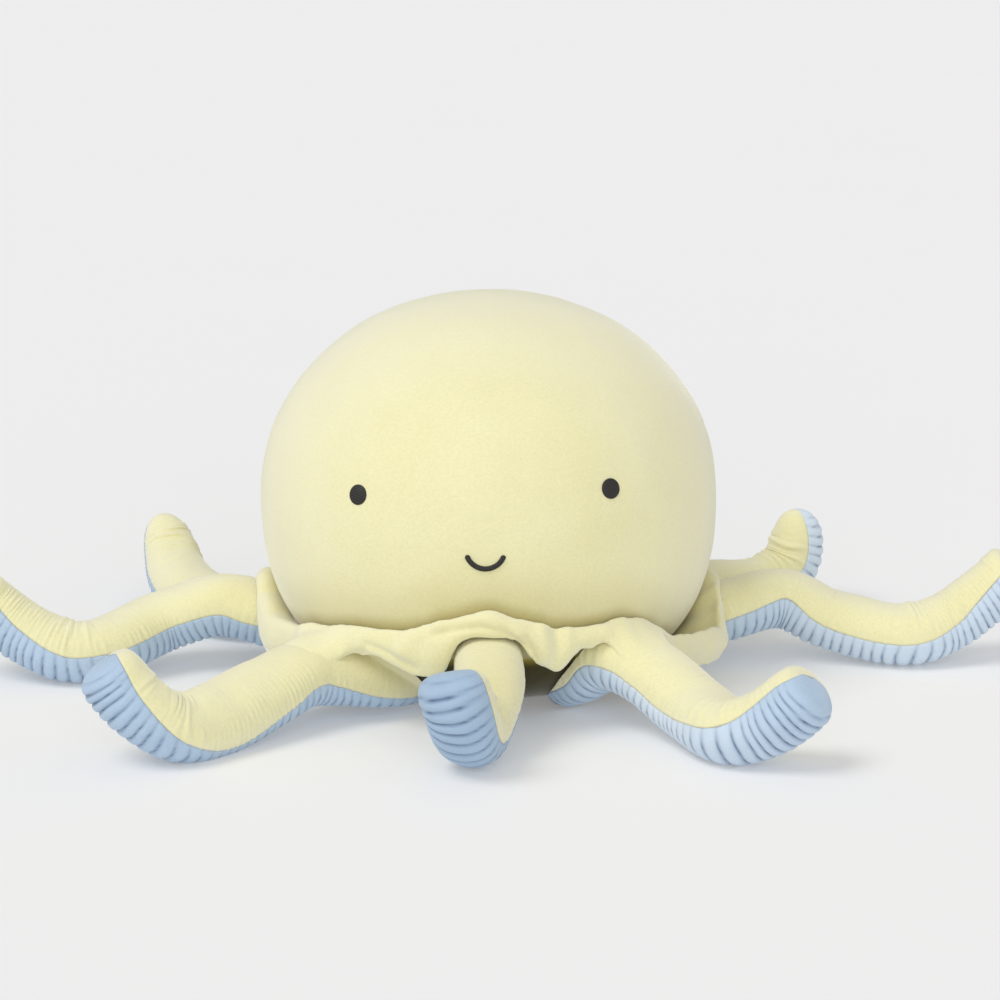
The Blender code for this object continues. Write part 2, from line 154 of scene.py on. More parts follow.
def sculpt(piece, strokes):  # each stroke: marks, width and push in mm, in for creases, out for rolls
    mesh = piece.data
    tree = BVHTree.FromPolygons([v.co.copy() for v in mesh.vertices], [list(f.vertices) for f in mesh.polygons])
    spots = np.empty(len(mesh.vertices) * 3)
    mesh.vertices.foreach_get("co", spots)
    spots = spots.reshape(-1, 3)
    normals = np.empty(len(mesh.vertices) * 3)
    mesh.vertices.foreach_get("normal", normals)
    normals = normals.reshape(-1, 3)
    moved = spots.copy()
    for marks, width, push in strokes:
        line = np.array([tuple(p) for p in drawOn(tree, marks)])
        if not len(line):
            continue
        low, high = line.min(0) - width * 0.004, line.max(0) + width * 0.004
        near = np.where(((spots > low) & (spots < high)).all(1))[0]
        gaps = np.sqrt(((spots[near][:, None, :] - line[None, :, :]) ** 2).sum(2)).min(1)
        moved[near] += normals[near] * (push / 1000 * np.exp(-(gaps / (width / 1000)) ** 2))[:, None]
    mesh.vertices.foreach_set("co", moved.ravel())
    mesh.update()


def settle(piece, node, material):  # what every finished piece gets
    piece.data.materials.clear()
    piece.data.materials.append(material)
    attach(piece, "root")
    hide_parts(*node)


# Materials

def startMaterial(name):  # the material, its nodes, its shader and the piece's own coordinates
    material = bpy.data.materials.new(name)
    material.use_nodes = True
    tree = material.node_tree
    return material, tree, tree.nodes["Principled BSDF"], addNode(tree, "TexCoord").outputs["Object"]


def blend(tree, factor, low, high, **settings):  # mixes two colours, each a hex code or a socket
    low, high = (linearColour(c) if isinstance(c, str) else c for c in (low, high))
    node = addNode(tree, "Mix", {"Factor": factor, "A": low, "B": high}, data_type="RGBA", **settings)
    return node.outputs["Result"]


def dress(tree, shader, colour, height, distance, strength, values, invert=False):  # colour, relief, gloss
    bump = addNode(tree, "Bump", {"Height": height, "Distance": distance, "Strength": strength}, invert=invert)
    tree.links.new(colour, shader.inputs["Base Color"])
    tree.links.new(bump.outputs["Normal"], shader.inputs["Normal"])
    for name, value in values.items():
        shader.inputs[name].default_value = value


def plush(name, patchScale, patchRoughness, tuftScale, light, sheen):
    # short pile: broad brushed patches between two colours, and tufts that speckle and roughen them
    material, tree, shader, coords = startMaterial(name)
    brushed = addNode(tree, "TexNoise", {"Vector": coords, "Scale": patchScale, "Detail": 2.0,
                                         "Roughness": patchRoughness})
    tufts = addNode(tree, "TexNoise", {"Vector": coords, "Scale": tuftScale, "Detail": 2.0, "Roughness": 0.6})
    pile = addNode(tree, "TexNoise", {"Vector": coords, "Scale": 2300.0, "Detail": 1.0})
    shade = addNode(tree, "MapRange", {"Value": tufts.outputs["Fac"], "From Min": 0.3, "From Max": 0.7,
                                       "To Min": 0.955, "To Max": 1.025})
    speckle = blend(tree, 1.0, blend(tree, brushed.outputs["Fac"], *light), shade.outputs["Result"],
                    blend_type="MULTIPLY")
    depth = addNode(tree, "Math", {0: tufts.outputs["Fac"], 1: pile.outputs["Fac"]}, operation="ADD")
    values = {"Roughness": 0.92, "Specular IOR Level": 0.15, "Sheen Weight": sheen[0],
              "Sheen Roughness": sheen[1], "Sheen Tint": linearColour(sheen[2])}
    return material, tree, speckle, lambda colour: dress(tree, shader, colour, depth.outputs["Value"],
                                                         0.0004, 0.35, values)


def yellowPlush():  # velour, with a pale sheen painted into the colour at grazing angles, where light catches the ends of the pile
    # one attribute is painted shade: 0 in the open, olive up to 0.5 where folds meet, dark at 1 for the shadow under
    # the skirt
    material, tree, speckle, dressPlush = plush("yellowPlush", 26.0, 0.5, 620.0, ("EBE5B2", "F2EDC0"),
                                                (0.8, 0.32, "FFFDF2"))
    # painted sheen: the colour turns pale towards grazing angles
    facing = addNode(tree, "LayerWeight", {"Blend": 0.5}).outputs["Facing"]
    paintedSheen = addNode(tree, "MapRange", {"Value": facing, "From Min": 0.12, "From Max": 0.75, "To Max": 0.62})
    paintedShade = addNode(tree, "Attribute", attribute_name="paintedShade").outputs["Fac"]
    foldShade = addNode(tree, "MapRange", {"Value": paintedShade, "From Max": 0.5})
    deep = addNode(tree, "MapRange", {"Value": paintedShade, "From Min": 0.5})
    colour = blend(tree, paintedSheen.outputs["Result"], speckle, "F3F1DC")
    # painted shade: olive where folds meet
    colour = blend(tree, foldShade.outputs["Result"], colour, "9A8A3C")
    # painted shadow: dark under the skirt
    dressPlush(blend(tree, deep.outputs["Result"], colour, "2C2716"))
    return material


def blueRibbedPlush():  # the same pile on the stitched channels, with shade painted darker down in the grooves
    # one attribute paints light and shade along each arm: 1 paints it paler, as if lit, -1 deeper, as if shaded
    material, tree, speckle, dressPlush = plush("blueRibbedPlush", 60.0, 0.5, 700.0, ("ABC3DB", "BBD0E5"),
                                                (0.3, 0.45, "F2F7FF"))
    grooveShade = addNode(tree, "Attribute", attribute_name="grooveShade").outputs["Fac"]
    paintedLightShade = addNode(tree, "Attribute", attribute_name="paintedLightShade").outputs["Fac"]
    paintedShadeShare = addNode(tree, "Math", {0: paintedLightShade, 1: -1.0}, operation="MULTIPLY")
    # painted light makes the blue paler, painted shade makes it deeper
    colour = blend(tree, paintedLightShade, speckle, "DCE8F4")
    colour = blend(tree, paintedShadeShare.outputs["Value"], colour, "90A9C4")
    # painted shade in the grooves
    dressPlush(blend(tree, grooveShade, colour, "5F7898"))
    return material


yellow = yellowPlush()
blue = blueRibbedPlush()
print("materials made")


# Head: a stuffed dome, skin 3 mm thick, open at the base where the round panel closes it

headShape = {"radius": 0.141, "height": 0.238, "waist": 0.1086, "base": 0.048, "crownPower": 2.12,
             "underPower": 2.2, "wall": 0.003, "unevenness": 0.0009, "dimple": 0.0006, "eyeDimple": 0.009,
             "mouthDimple": 0.014, "underShare": 0.47, "segments": 240, "rings": 190, "liningRings": 40}
eyeSpots = {"eye_left": (-123.4, 0.1404), "eye_right": (-58.6, 0.1445)}  # bearing and height
mouthSpot = (-0.0016, 0.1140)  # middle of the smile's arc, x and height


def headRadius(height):  # the dome's radius at a height
    h = headShape
    if height < h["waist"]:
        drop = min((h["waist"] - height) / h["waist"], 1.0)
        return h["base"] + (h["radius"] - h["base"]) * (1 - drop ** h["underPower"]) ** (1 / h["underPower"])
    rise = min((height - h["waist"]) / (h["height"] - h["waist"]), 1.0)
    return h["radius"] * (1 - rise ** h["crownPower"]) ** (1 / h["crownPower"])


def headProfile(share):  # 0 at the base edge, 1 at the crown: radius, height, outward slope
    h = headShape
    crown = h["height"] - h["waist"]
    bulge = h["radius"] - h["base"]
    if share < h["underShare"]:
        angle = 0.5 * math.pi * share / h["underShare"]
        across, drop = math.sin(angle), math.cos(angle)
        across, drop = max(across, 0.0) ** (2 / h["underPower"]), max(drop, 0.0) ** (2 / h["underPower"])
        r, z = h["base"] + bulge * across, h["waist"] * (1 - drop)
        out, up = across ** (h["underPower"] - 1) / bulge, -drop ** (h["underPower"] - 1) / h["waist"]
    else:
        angle = 0.5 * math.pi * (share - h["underShare"]) / (1 - h["underShare"])
        across, rise = max(math.cos(angle), 0.0), max(math.sin(angle), 0.0)
        across, rise = across ** (2 / h["crownPower"]), rise ** (2 / h["crownPower"])
        r, z = h["radius"] * across, h["waist"] + crown * rise
        out, up = across ** (h["crownPower"] - 1) / h["radius"], rise ** (h["crownPower"] - 1) / crown
    length = math.hypot(out, up)
    return r, z, out / length, up / length


def makeHead():
    h = headShape
    segments, rings, inner = h["segments"], h["rings"], h["liningRings"]
    rows = []
    for ring in range(rings + 1):
        if ring <= inner:  # down the inside of the skin, from the crown to the rim
            r, z, out, up = headProfile(1 - ring / inner * 0.97)
            rows.append((max(r - out * h["wall"], 0.0), max(z - up * h["wall"], h["wall"]), 0, 0))
        else:
            r, z, out, up = headProfile((ring - inner - 1) / (rings - inner - 1))
            rows.append((r, z, out, up))
    rows[0] = (0.0, rows[0][1], 0, 0)
    rows[-1] = (0.0, rows[-1][1], 0, 1)
    marks = [polar(headRadius(z), bearing, z) for bearing, z in eyeSpots.values()]
    mouth = Vector((mouthSpot[0], -headRadius(mouthSpot[1] - 0.008), mouthSpot[1] - 0.008))

    def place(ring, segment):
        r, z, out, up = rows[ring]
        spot = polar(r, 360 * segment / segments, z)
        push = 0.0
        if out or up:
            push = h["unevenness"] * (wave(spot.x * 17, spot.y * 17, spot.z * 17)
                                      + 0.4 * wave(spot.x * 47, spot.y * 47, spot.z * 47 + 9))
            push *= ease(z / 0.03)
            for mark in marks:
                push -= h["dimple"] * bell((spot - mark).length, h["eyeDimple"])
            push -= h["dimple"] * bell((spot - mouth).length, h["mouthDimple"])
        return polar(r + out * push, 360 * segment / segments, max(z + up * push, 0.0))

    head = sphereToGrid("headCover", segments, rings, place)
    settle(head, ["head_cover"], yellow)
    return head


head = makeHead()
print("head stuffed")


# Tentacles: yellow top and ribbed blue underside, sewn together along both sides

tentacleShape = {"rootWidth": 0.050, "pinch": 0.009, "pinchLength": 0.045, "tipWidth": 0.040,
                 "height": 0.037, "tipRound": 0.017, "tipPower": 3.3, "tipLift": 0.010, "fullness": 2.15,
                 "seamGap": 0.00015, "ribPitch": 0.0062, "ribDepth": 0.0026, "gather": 0.0010, "pleat": 0.0021,
                 "lump": 0.0013, "backRound": 0.034, "backPower": 2.3, "backTaper": 0.007, "ringStep": 0.0007,
                 "topRingStep": 0.00075, "tipRings": 20, "arc": 40, "flat": 8, "slip": 0.0013, "drift": 0.0018,
                 "bow": 0.0016, "ridge": 3.6, "fade": 0.012, "pull": 0.0005, "sway": 0.0006, "seamDepth": 0.0003}

# reach from the middle, bearing, height of the middle of the arm, roll in degrees, as in the CAD part
tentacleRoutes = {
    1: ((80, -90, 19, 0), (108, -90, 31, 0), (137, -90, 44.4, 0), (158, -89.6, 38, 0), (177, -91.2, 24, 0),
        (192, -92.6, 20.4, 0), (205, -93.4, 28, 2), (212.5, -94.2, 42.2, 6), (213.5, -95.3, 55, 10),
        (211.5, -95.7, 63, 10)),
    2: ((88, -57, 19, 26), (108, -57, 28, 22), (128, -55, 39, 8), (153, -51.5, 34, 12), (189, -51, 21, 14),
        (227, -53, 18.1, 2), (247, -50.5, 26, -14), (262, -48.5, 40, -22), (271, -47.5, 51, -16)),
    3: ((100, 7, 19, 0), (125, 7, 26, 0), (153, 7.5, 33, -2), (187, 9, 37, -12), (218, 6, 25.2, 6),
        (261, 2.5, 18.5, 10), (290, 3.5, 25.2, -2), (311, 4, 39, -16), (326, 4, 53, -22), (333, 4, 64, -24)),
    4: ((100, 38, 19, 0), (125, 38, 22, 0), (150, 38, 22, 0), (188, 37.5, 19, 0), (222, 35.5, 18.5, 0),
        (242, 34.5, 29, 0), (249, 34.5, 47, 0), (249, 34.7, 67, 0)),
    5: ((80, 94, 19, 0), (110, 94, 27, 0), (145, 94, 33, 0), (188, 95, 22, 0), (230, 97, 18.1, 0),
        (255, 97, 26, 0), (268, 96, 42, 0)),
    6: ((100, 151, 19, 0), (125, 152, 21, 0), (155, 154, 20, 0), (187, 156, 18.5, 0), (218, 152.5, 18.5, 0),
        (246, 148, 25, 0), (266, 144.5, 39, 0), (278, 143.5, 57, 0)),
    7: ((100, 177, 19, 0), (125, 177, 28, 0), (150, 177, 36, -6), (172, 177.5, 39, 0), (206, 179, 29, 0),
        (238, 185, 20, 0), (262, 185.5, 18.5, 4), (287, 184, 28, 16), (307, 183, 42, 26), (321, 183, 57, 30)),
    8: ((80, -120, 23, -34), (108, -125, 26, -32), (140, -133.5, 29, -10), (160, -135, 30, -4), (184, -135, 25, -16),
        (225, -134.5, 18.1, -38), (253, -135, 20, -16), (271, -137, 34, 4), (280, -139, 49, 16),
        (285, -140, 60, 20)),
}


class Route:  # a smooth line through the corners, with the arm's side and up directions along it
    def __init__(self, corners, step=0.001):
        spots = [Vector((*polar(r / 1000, b, z / 1000), math.radians(roll))) for r, b, z, roll in corners]
        spots = [2 * spots[0] - spots[1]] + spots + [2 * spots[-1] - spots[-2]]
        line = []
        for a, b, c, d in zip(spots, spots[1:], spots[2:], spots[3:]):
            for k in range(40):
                t = k / 40
                line.append(through(a, b, c, d, t))
        line.append(spots[-2])
        gone = [0.0]
        for a, b in zip(line, line[1:]):
            gone.append(gone[-1] + (b.to_3d() - a.to_3d()).length)
        self.length = gone[-1]
        count = round(self.length / step)
        self.step = self.length / count
        self.at, self.side, self.up, self.bend = [], [], [], []
        k = 0
        points = []
        for i in range(count + 1):
            goal = i * self.step
            while k < len(line) - 2 and gone[k + 1] < goal:
                k += 1
            points.append(line[k].lerp(line[k + 1], (goal - gone[k]) / (gone[k + 1] - gone[k])))
        side = None
        ways = []
        for i, point in enumerate(points):
            a, b = points[max(i - 4, 0)].to_3d(), points[min(i + 4, count)].to_3d()
            along = (b - a).normalized()
            if side is None:
                side = Vector((0, 0, 1)).cross(along)
            side = (side - along * side.dot(along)).normalized()
            up = along.cross(side)
            turned = side * math.cos(point.w) + up * math.sin(point.w)
            self.at.append(point.to_3d())
            self.side.append(turned)
            self.up.append(along.cross(turned))
            ways.append(along)
        for i in range(count + 1):  # how sharply it bends upwards, in turns per metre
            a, b = ways[max(i - 6, 0)], ways[min(i + 6, count)]
            span = (min(i + 6, count) - max(i - 6, 0)) * self.step
            self.bend.append((b - a).dot(self.up[i]) / span)

    def frame(self, distance):
        t = min(max(distance / self.step, 0.0), len(self.at) - 1.001)
        k = int(t)
        t -= k
        return (self.at[k].lerp(self.at[k + 1], t), self.side[k].lerp(self.side[k + 1], t),
                self.up[k].lerp(self.up[k + 1], t), self.bend[k] * (1 - t) + self.bend[k + 1] * t)


def armSize(route, number, distance):  # width, height and how much of the round tip is left
    s = tentacleShape
    share = 1.0
    left = route.length - distance
    slender = number in (4, 5, 6)  # the back arms taper to a rounder tip
    far, power = (s["backRound"], s["backPower"]) if slender else (s["tipRound"], s["tipPower"])
    if left < far:
        share = max(1 - (1 - left / far) ** power, 0.0) ** (1 / power)
    width = s["rootWidth"] + (s["tipWidth"] - s["rootWidth"]) * distance / route.length
    width -= s["pinch"] * max(1 - distance / s["pinchLength"], 0.0) ** 2
    if number == 1:  # the front arm is squeezed by the roll it comes out from under
        width -= 0.0075 * bell(distance - 0.047, 0.048) + 0.004 * bell(distance - 0.115, 0.030)
    if slender:
        width -= s["backTaper"] * ease((distance / route.length - 0.6) / 0.3)
    return width * share, s["height"] * share, share


def ribPlaces(route, number):  # groove positions along the arm, unevenly spaced like the stitching
    s = tentacleShape
    places = [0.0]
    while places[-1] < route.length:
        pitch = s["ribPitch"] * (1 + 0.09 * wave(places[-1] * 70, number * 3.7))
        pitch *= 1 - 0.12 * ease((places[-1] / route.length - 0.55) / 0.3)
        places.append(places[-1] + pitch)
    return np.array(places)


def armPoint(route, number, distance, angle, sign, ribs):
    # A point of the arm's skin. The angle runs from one seam, 0, over the middle to the other, pi.
    s = tentacleShape
    centre, side, up, bend = route.frame(distance)
    width, height, share = armSize(route, number, distance)
    c, d = math.cos(angle), math.sin(angle)
    power = 2 / s["fullness"]
    across = math.copysign(abs(c) ** power, c) * width / 2
    rise = abs(d) ** power * height / 2
    along = distance * 1000
    near = bell(d, 0.75)  # 1 at the seams, less towards the middle of the strip
    slip = s["slip"] * wave(distance * 45, angle * 1.1, number) + s["drift"] * wave(distance * 18, number * 5)
    place = distance + slip - s["bow"] * (1 - d) * share
    k = min(max(int(np.searchsorted(ribs, place)) - 1, 0), len(ribs) - 2)
    x = min(max((place - ribs[k]) / (ribs[k + 1] - ribs[k]), 0.0), 1.0)
    ridge = 1 - abs(2 * x - 1) ** s["ridge"]
    fade = ease(min(route.length - distance, s["fade"]) / s["fade"])
    grooveShade = 0.0
    if sign < 0:
        full = s["ribDepth"] * (0.92 + 0.2 * wave(k * 1.7, number)) * (0.2 + 0.8 * ease(d * 1.9)) * fade
        push = full * (ridge - 0.7)
        # painted shade, darkest down between two ribs
        grooveShade = (1 - ridge) ** 1.5 * (0.3 + 0.7 * ease(d * 1.6)) * fade
    else:
        valley = ease((bend - 3) / 16)
        warp = along / 4.6 + 0.7 * wave(along / 14, angle * 0.8, number)
        fold = abs(wave(warp, angle * 0.45, number * 7.1))
        push = s["pleat"] * (fold - 0.2) * (0.1 + valley) * ease(share * 2 - 1)
        patch = ease(0.55 + 1.8 * wave(distance * 20, number * 2.3, c * 0.6))
        gathers = math.sin(math.tau * (along / 3.4 + 0.5 * wave(along / 9, number)) + c * 2 + number)
        push += s["gather"] * near * patch * gathers * fade * (0.6 + 0.4 * wave(along / 5, number * 9))
        push += s["lump"] * wave(along / 21, angle * 0.9, number * 4.9) * ease(share * 2 - 1)
    seam = bell(d, 0.3)
    pull = s["pull"] * (ridge - 0.5) * seam * fade
    lift = s["sway"] * wave(distance * 60, number + c * 3) * seam * fade
    across += math.copysign(push * (1 - seam * 0.6) * abs(c) + pull, c)
    rise = max(rise + push * d - s["seamDepth"] * seam, 0.0)
    lift = lift * seam + s["tipLift"] * (1 - share) * (number in (1, 2, 3, 7, 8))  # blue laps over the tip
    spot = centre + side * across + up * (sign * (rise + s["seamGap"] / 2) + lift)
    return spot, grooveShade


# light and shade painted on the blue of each arm, paler where the strength is above 0, deeper below: distance out
# along the arm, spread, strength
blueLightShade = {1: (0.150, 0.060, -0.35), 2: (0.105, 0.070, 1.0), 3: (0.190, 0.150, 0.7), 4: (0.170, 0.080, 0.9),
            7: (0.150, 0.090, 0.15), 8: (0.130, 0.060, 0.1)}
# and the shade painted on the yellow tops of some arms, where they lie in the others' shade
shading = {1: (0.090, 0.100, 0.05), 8: (0.045, 0.055, 0.08)}


def outOfHead(spot, way):  # the root is sewn on to the head's curve, so it stops at the cover
    if spot.z < headShape["waist"]:
        least = headRadius(max(spot.z, 0.0)) + 0.0004
        gone = spot.x * way.x + spot.y * way.y
        aside = spot.x * way.y - spot.y * way.x
        short = math.sqrt(max(least ** 2 - aside ** 2, 0.0)) - gone
        if short > 0:
            spot.x += way.x * short
            spot.y += way.y * short
    return spot


def makeHalf(number, route, ribs, sign):
    s = tentacleShape
    arc, flat, tip = s["arc"], s["flat"], s["tipRings"]
    segments = arc + flat
    rings = round(route.length / s["ringStep" if sign < 0 else "topRingStep"])
    marks = {}
    way = route.at[0].normalized()
    where, spread, strength = (shading if sign > 0 else blueLightShade).get(number, (0.1, 0.1, 0.0))

    def along(ring):
        straight = route.length - s["tipRound"]
        if ring <= rings - tip:
            return straight * ring / (rings - tip)
        return straight + s["tipRound"] * math.sin(0.5 * math.pi * (ring - rings + tip) / tip)

    def place(ring, segment):
        distance = along(ring)
        if ring == 0:
            spot, grooveShade = route.frame(distance)[0], 0.0
        elif ring == rings:  # the last point lies inside this half's own share of the tip
            a, b, c = (armPoint(route, number, along(ring - 1), angle, sign, ribs)[0]
                       for angle in (math.pi, 0.0, math.pi / 2))
            spot, grooveShade = a.lerp(b, 0.5).lerp(c, 0.4), 0.0
        elif segment <= arc:
            spot, grooveShade = armPoint(route, number, distance, math.pi * segment / arc, sign, ribs)
        else:
            a, _ = armPoint(route, number, distance, math.pi, sign, ribs)
            b, _ = armPoint(route, number, distance, 0.0, sign, ribs)
            t = (segment - arc) / flat
            spot, grooveShade = a.lerp(b, t), 0.0
        spot.z = max(spot.z, 0.0)
        spot = outOfHead(spot, way)
        # painted light and shade on the blue, or painted shade on the tops, fading along the arm
        paintedTone = strength * bell(distance - where, spread)
        marks[(round(spot.x, 7), round(spot.y, 7), round(spot.z, 7))] = (grooveShade, paintedTone)
        return spot

    word = "Top" if sign > 0 else "Underside"
    half = sphereToGrid(f"tentacle{number}{word}", segments, rings, place)
    layers = {"grooveShade": 0, "paintedLightShade": 1} if sign < 0 else {"paintedShade": 1}
    for layer in layers:  # painted shade in the grooves and painted light and shade along the blue, or painted shade on the tops, for the colour
        half.data.attributes.new(layer, "FLOAT", "POINT")
    for vert in half.data.vertices:
        found = marks.get((round(vert.co.x, 7), round(vert.co.y, 7), round(vert.co.z, 7)), (0.0, 0.0))
        for layer, which in layers.items():
            half.data.attributes[layer].data[vert.index].value = found[which]
    if sign < 0:
        settle(half, [f"tentacle_{number}_underside"], blue)
    else:
        settle(half, [f"tentacle_{number}_top"], yellow)
    return half


tops = []
for number, corners in tentacleRoutes.items():
    route = Route(corners)
    ribs = ribPlaces(route, number)
    tops.append(makeHalf(number, route, ribs, 1))
    makeHalf(number, route, ribs, -1)
print("tentacles stuffed and sewn")


# Skirt: the ruffle sewn round the head, draped over the roots and drooping between them

skirtShape = {"roll": 0.013, "least": 0.005, "hem": 0.008, "sink": 0.001, "wrinkle": 0.0007, "voxel": 0.0017,
              "shoulders": ((-56, 10), (-132, 10)), "rest": 0.0008, "steps": 480, "around": 72}

# bearing, reach, hem height, crest height and how far it dips between crest and head, in mm
skirtEdge = ((-173, 145, 34, 53, 0), (-162, 146, 20, 48, 2), (-150, 142, 22, 50, 2), (-140, 143, 30, 55, 0),
             (-124, 144, 40, 61, 0), (-118, 144.5, 46, 62, 0), (-112, 145.5, 40, 63, 0), (-107, 147, 36.5, 65, 0),
             (-101, 149, 37.5, 71.5, 0), (-90, 151, 50, 79, 0), (-82, 150, 46, 73, 0), (-78, 149, 45, 70, 0),
             (-73.5, 146.5, 36.5, 66, 0), (-68, 145, 50, 64.5, 0), (-62, 145, 50, 65, 0), (-56, 146, 44, 66.5, 0),
             (-45, 143, 30, 57, 2), (-36, 142.5, 23, 49, 7), (-27, 144.5, 19, 46.5, 13),
             (-19, 148, 16.5, 44, 16), (-13, 151, 16, 39, 14), (-6, 147, 24, 50, 12), (0, 144.5, 32, 56, 5),
             (8, 146, 36, 53, 0), (23, 145, 34, 50, 0), (38, 146, 36, 50, 0), (66, 146, 30, 50, 0),
             (94, 146, 36, 54, 0), (122, 146, 30, 50, 0), (151, 146, 36, 50, 0), (164, 145, 36, 50, 0),
             (177, 146, 36, 52, 0))


def edgeAt(bearing):  # reach, hem, crest and dip, eased between the typed places
    spots = sorted((b % 360, r / 1000, h / 1000, c / 1000, d / 1000) for b, r, h, c, d in skirtEdge)
    bearing %= 360
    before = max([p for p in spots if p[0] <= bearing], default=spots[-1])
    after = min([p for p in spots if p[0] > bearing], default=spots[0])
    t = ease(((bearing - before[0]) % 360) / ((after[0] - before[0]) % 360))
    return [a + (b - a) * t for a, b in zip(before[1:], after[1:])]


def smoothRound(values, width):  # a running average round the ring
    count = len(values)
    reach = max(int(width), 1)
    weights = [math.exp(-(k / width) ** 2) for k in range(-reach * 2, reach * 2 + 1)]
    total = sum(weights)
    return [sum(w * values[(i + k) % count] for w, k in zip(weights, range(-reach * 2, reach * 2 + 1))) / total
            for i in range(count)]


def makeSkirt(tops):
    s = skirtShape
    verts, faces = [], []
    for top in tops:
        start = len(verts)
        verts.extend(v.co.copy() for v in top.data.vertices)
        faces.extend([start + k for k in face.vertices] for face in top.data.polygons)
    tree = BVHTree.FromPolygons(verts, faces)

    def support(reach, bearing):
        hit = tree.ray_cast(polar(reach, bearing, headShape["height"]), Vector((0, 0, -1)))[0]
        return hit.z if hit else 0.0

    steps, around = s["steps"], s["around"]
    hems, unders, edges = [], [], []
    for k in range(steps):
        bearing = 360 * k / steps
        reach, hem, crest, dip = edgeAt(bearing)
        edges.append((reach, crest, dip))
        outer = max(support(reach - s["hem"] * share, bearing + turn)
                    for share in (0, 0.5, 1) for turn in (-0.8, 0, 0.8))
        waist = headRadius(crest - s["roll"])
        inner = max(support(waist + (reach - waist) * share, bearing + turn)
                    for share in (0, 0.25, 0.5) for turn in (-0.8, 0, 0.8))
        hems.append(max(hem, outer + s["rest"]))
        unders.append(max(crest - s["roll"], inner + s["rest"]))
    hems = [max(a, b) for a, b in zip(hems, smoothRound(hems, 2.5))]
    unders = [max(a, b) for a, b in zip(unders, smoothRound(unders, 2.5))]
    hems, unders = smoothRound(hems, 1.6), smoothRound(unders, 1.6)
    rows = []
    for k in range(steps):
        reach, crest, dip = edges[k]
        bearing = 360 * k / steps
        under = max(unders[k], min(hems[k] + 0.3 * s["roll"], crest - s["least"]))
        crest = max(crest, under + s["least"], hems[k] + 1.3 * s["least"])
        lining = max(reach - s["hem"], headRadius(hems[k]) + 0.2 * s["hem"])
        sewnTop, sewnLow = crest - 0.5 * s["roll"] - dip, under - 0.1 * s["roll"] - dip
        near = headRadius(crest)
        deep, tall = reach - near, crest - hems[k]
        row = [(headRadius(sewnTop) - s["sink"], sewnTop),
               (near + 0.45 * deep, crest - 0.8 * dip),
               (near + 0.78 * deep, crest - 0.12 * tall),
               (near + 0.97 * deep, crest - 0.38 * tall),
               (reach, crest - 0.62 * tall),
               (reach - 0.15 * deep, hems[k] + 0.12 * tall),
               (0.5 * (reach + lining), hems[k]),
               (lining, hems[k] + 0.2 * s["roll"]),
               (0.5 * (headRadius(under) + lining), under - 0.8 * dip),
               (headRadius(sewnLow) - s["sink"], sewnLow)]
        for middle, width in s["shoulders"]:  # over these arms it runs out into the arm's own cover
            turn = (bearing - middle + 180) % 360 - 180
            if abs(turn) < 1.6 * width:
                clear = [abs(step) for step in np.arange(-8, 8.1, 0.5) if support(0.150, bearing + step) < 0.02]
                inside = ease(min(clear, default=8) / 6)  # 0 at the arm's edge, 1 well over its back
                blend = ease(1.6 - abs(turn) / width) * ease(inside * 4)
                if blend > 0:
                    a, b, c = 0.142 + 0.006 * inside, 0.147 + 0.011 * inside, 0.150 + 0.016 * inside
                    atA, atB, atC = (support(r, bearing) for r in (a, b, c))
                    sloped = [row[0], (near + 0.30 * deep, crest), (near + 0.62 * deep, crest - 0.0025),
                              (a, max(atA + 0.0030, crest - 0.0075)), (b, atB + s["rest"]), (c, atC - 0.0014),
                              (b + 0.002, atB - 0.0050), (a + 0.002, atA - 0.0050), (0.140, atA - 0.0055),
                              (headRadius(0.045) - s["sink"], 0.045)]
                    row = [(p[0] + (q[0] - p[0]) * blend, p[1] + (q[1] - p[1]) * blend)
                           for p, q in zip(row, sloped)]
        rows.append(row)
    sections = []
    for row in rows:
        count = len(row)
        points = []
        for i in range(around):
            t = i / around * count
            j = int(t)
            t -= j
            a, b, c, d = (row[(j + n - 1) % count] for n in range(4))
            points.append([through(a[m], b[m], c[m], d[m], t) for m in (0, 1)])
        sections.append(points)
    bpy.ops.object.select_all(action="DESELECT")
    bpy.ops.mesh.primitive_torus_add(major_segments=steps, minor_segments=around, major_radius=1, minor_radius=0.2)
    skirt = bpy.context.object
    skirt.name = skirt.data.name = "skirtRuffle"
    for vert in skirt.data.vertices:
        k = round(math.atan2(vert.co.y, vert.co.x) / math.tau * steps) % steps
        r = math.hypot(vert.co.x, vert.co.y) - 1
        i = round(math.atan2(vert.co.z, -r) / math.tau * around) % around
        r, z = sections[k][i]
        vert.co = polar(r, 360 * k / steps, z)
    faceOut()
    skirt.data.remesh_voxel_size = s["voxel"]
    bpy.ops.object.voxel_remesh()
    soften(skirt, 10)
    sculpt(skirt, skirtStrokes)
    for vert in skirt.data.vertices:
        spot = vert.co
        crease = wave(spot.x * 60, spot.y * 60, spot.z * 30) + 0.5 * wave(spot.x * 140, spot.y * 140, spot.z * 60)
        vert.co += vert.normal * s["wrinkle"] * crease
    soften(skirt, 2)
    bpy.ops.object.shade_smooth()
    settle(skirt, ["skirt"], yellow)
    return skirt


